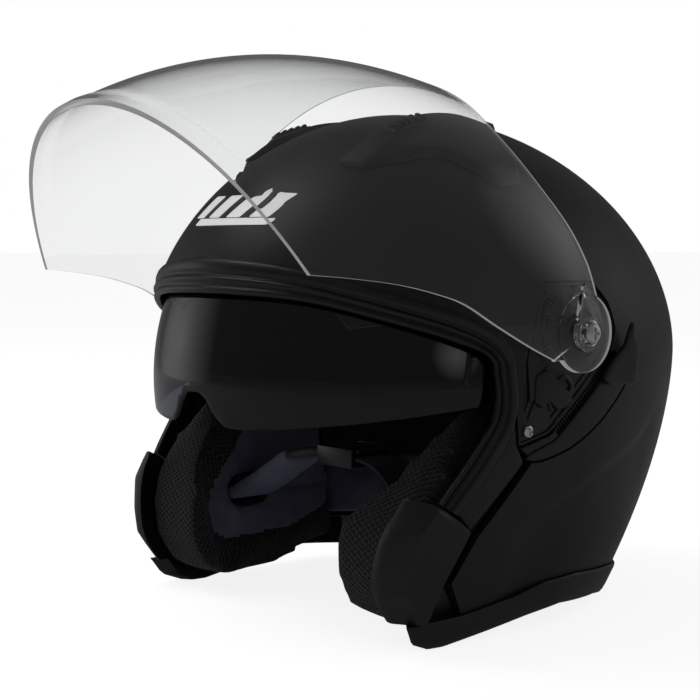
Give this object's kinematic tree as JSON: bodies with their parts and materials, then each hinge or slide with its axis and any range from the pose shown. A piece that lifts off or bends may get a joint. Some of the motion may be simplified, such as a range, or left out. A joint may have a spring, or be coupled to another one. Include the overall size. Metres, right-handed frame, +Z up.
{
  "type": "open face motorcycle helmet",
  "caption": "Open face motorcycle helmet with a raised clear visor on ratchet hinges, a drop-down smoked sun visor, sliding top vents, removable pads and a buckled chin strap.",
  "frame": {"origin": "centre of the bounding box's footprint, on the surface the helmet stands on", "axes": "+Z up, the face looks along -Y, +X is the wearer's left"},
  "size_m": [0.265, 0.3404, 0.2666],
  "materials": {
    "shell_matte": "matte black paint over moulded shell",
    "trim_satin": "fine-grained satin black plastic",
    "gasket_rubber": "satin ribbed rubber",
    "foam": "moulded bead foam",
    "knit_fabric": "open spacer mesh knit",
    "lining_fabric": "brushed lining, navy black",
    "clear_visor": "clear polished polycarbonate",
    "smoke_visor": "dark smoked polycarbonate",
    "hinge_plastic": "semi-gloss black nylon",
    "steel": "bright plated",
    "webbing": "woven webbing",
    "mark_white": "printed mark"
  },
  "bodies": {
    "helmet": {"outer_shell": "shell_matte", "eps_liner": "foam", "crown_pad": "lining_fabric", "neck_roll": "lining_fabric", "cheek_pad_left": "knit_fabric", "cheek_pad_right": "knit_fabric", "face_gasket": "gasket_rubber", "neck_trim": "trim_satin", "jaw_cover_left": "trim_satin", "jaw_cover_right": "trim_satin", "port_strip_left": "hinge_plastic", "port_strip_right": "hinge_plastic", "hinge_plate_left": "hinge_plastic", "hinge_plate_right": "hinge_plastic", "pivot_screw_left": "steel", "pivot_screw_right": "steel", "plate_screw_left": "steel", "plate_screw_right": "steel", "side_cover_left": "shell_matte", "side_cover_right": "shell_matte", "sun_visor_pin_left": "steel", "sun_visor_pin_right": "steel", "top_vent_left": "trim_satin", "top_vent_right": "trim_satin", "rear_vent": "trim_satin", "forehead_mark": "mark_white", "chin_strap_left": "webbing", "chin_strap_right": "webbing", "strap_anchor_left": "steel", "strap_anchor_right": "steel", "buckle_body": "steel", "buckle_tongue": "hinge_plastic"},
    "visor": {"visor": "clear_visor", "visor_cap_left": "clear_visor", "visor_cap_right": "clear_visor"},
    "sun_visor": {"sun_visor": "smoke_visor"},
    "sun_visor_lever": {"sun_visor_lever": "hinge_plastic"},
    "release_lever_left": {"release_lever_left": "hinge_plastic"},
    "release_lever_right": {"release_lever_right": "hinge_plastic"},
    "vent_slider_left": {"vent_slider_left": "trim_satin"},
    "vent_slider_right": {"vent_slider_right": "trim_satin"},
    "buckle_lever": {"buckle_lever": "steel"}
  },
  "joints": [
    {"name": "visor_hinge", "type": "hinge", "parent": "helmet", "child": "visor", "pos_m": [0, 0.01119, 0.1385], "axis": [1, 0, 0], "range_deg": [0, 52]},
    {"name": "sun_visor_hinge", "type": "hinge", "parent": "helmet", "child": "sun_visor", "pos_m": [0, 0.00619, 0.113], "axis": [-1, 0, 0], "range_deg": [0, 38]},
    {"name": "sun_visor_lever_slide", "type": "slide", "parent": "helmet", "child": "sun_visor_lever", "axis": [0, -0.736, -0.677], "range_m": [0, 0.02]},
    {"name": "release_slide_left", "type": "slide", "parent": "helmet", "child": "release_lever_left", "axis": [0, 0, 1], "range_m": [0, 0.0025], "stiffness_N_per_m": 300},
    {"name": "release_slide_right", "type": "slide", "parent": "helmet", "child": "release_lever_right", "axis": [0, 0, 1], "range_m": [0, 0.0025], "stiffness_N_per_m": 300},
    {"name": "vent_slide_left", "type": "slide", "parent": "helmet", "child": "vent_slider_left", "axis": [0, 0.97, 0.243], "range_m": [0, 0.008]},
    {"name": "vent_slide_right", "type": "slide", "parent": "helmet", "child": "vent_slider_right", "axis": [0, 0.97, 0.243], "range_m": [0, 0.008]},
    {"name": "buckle_lever_hinge", "type": "hinge", "parent": "helmet", "child": "buckle_lever", "pos_m": [0.004, -0.02581, 0.079], "axis": [0, -1, 0], "range_deg": [0, 60], "stiffness_Nm_per_rad": 0.05}
  ],
  "couplings": [
    {"joint": "sun_visor_lever_slide", "follows": "sun_visor_hinge", "m_per_rad": 0.03}
  ]
}
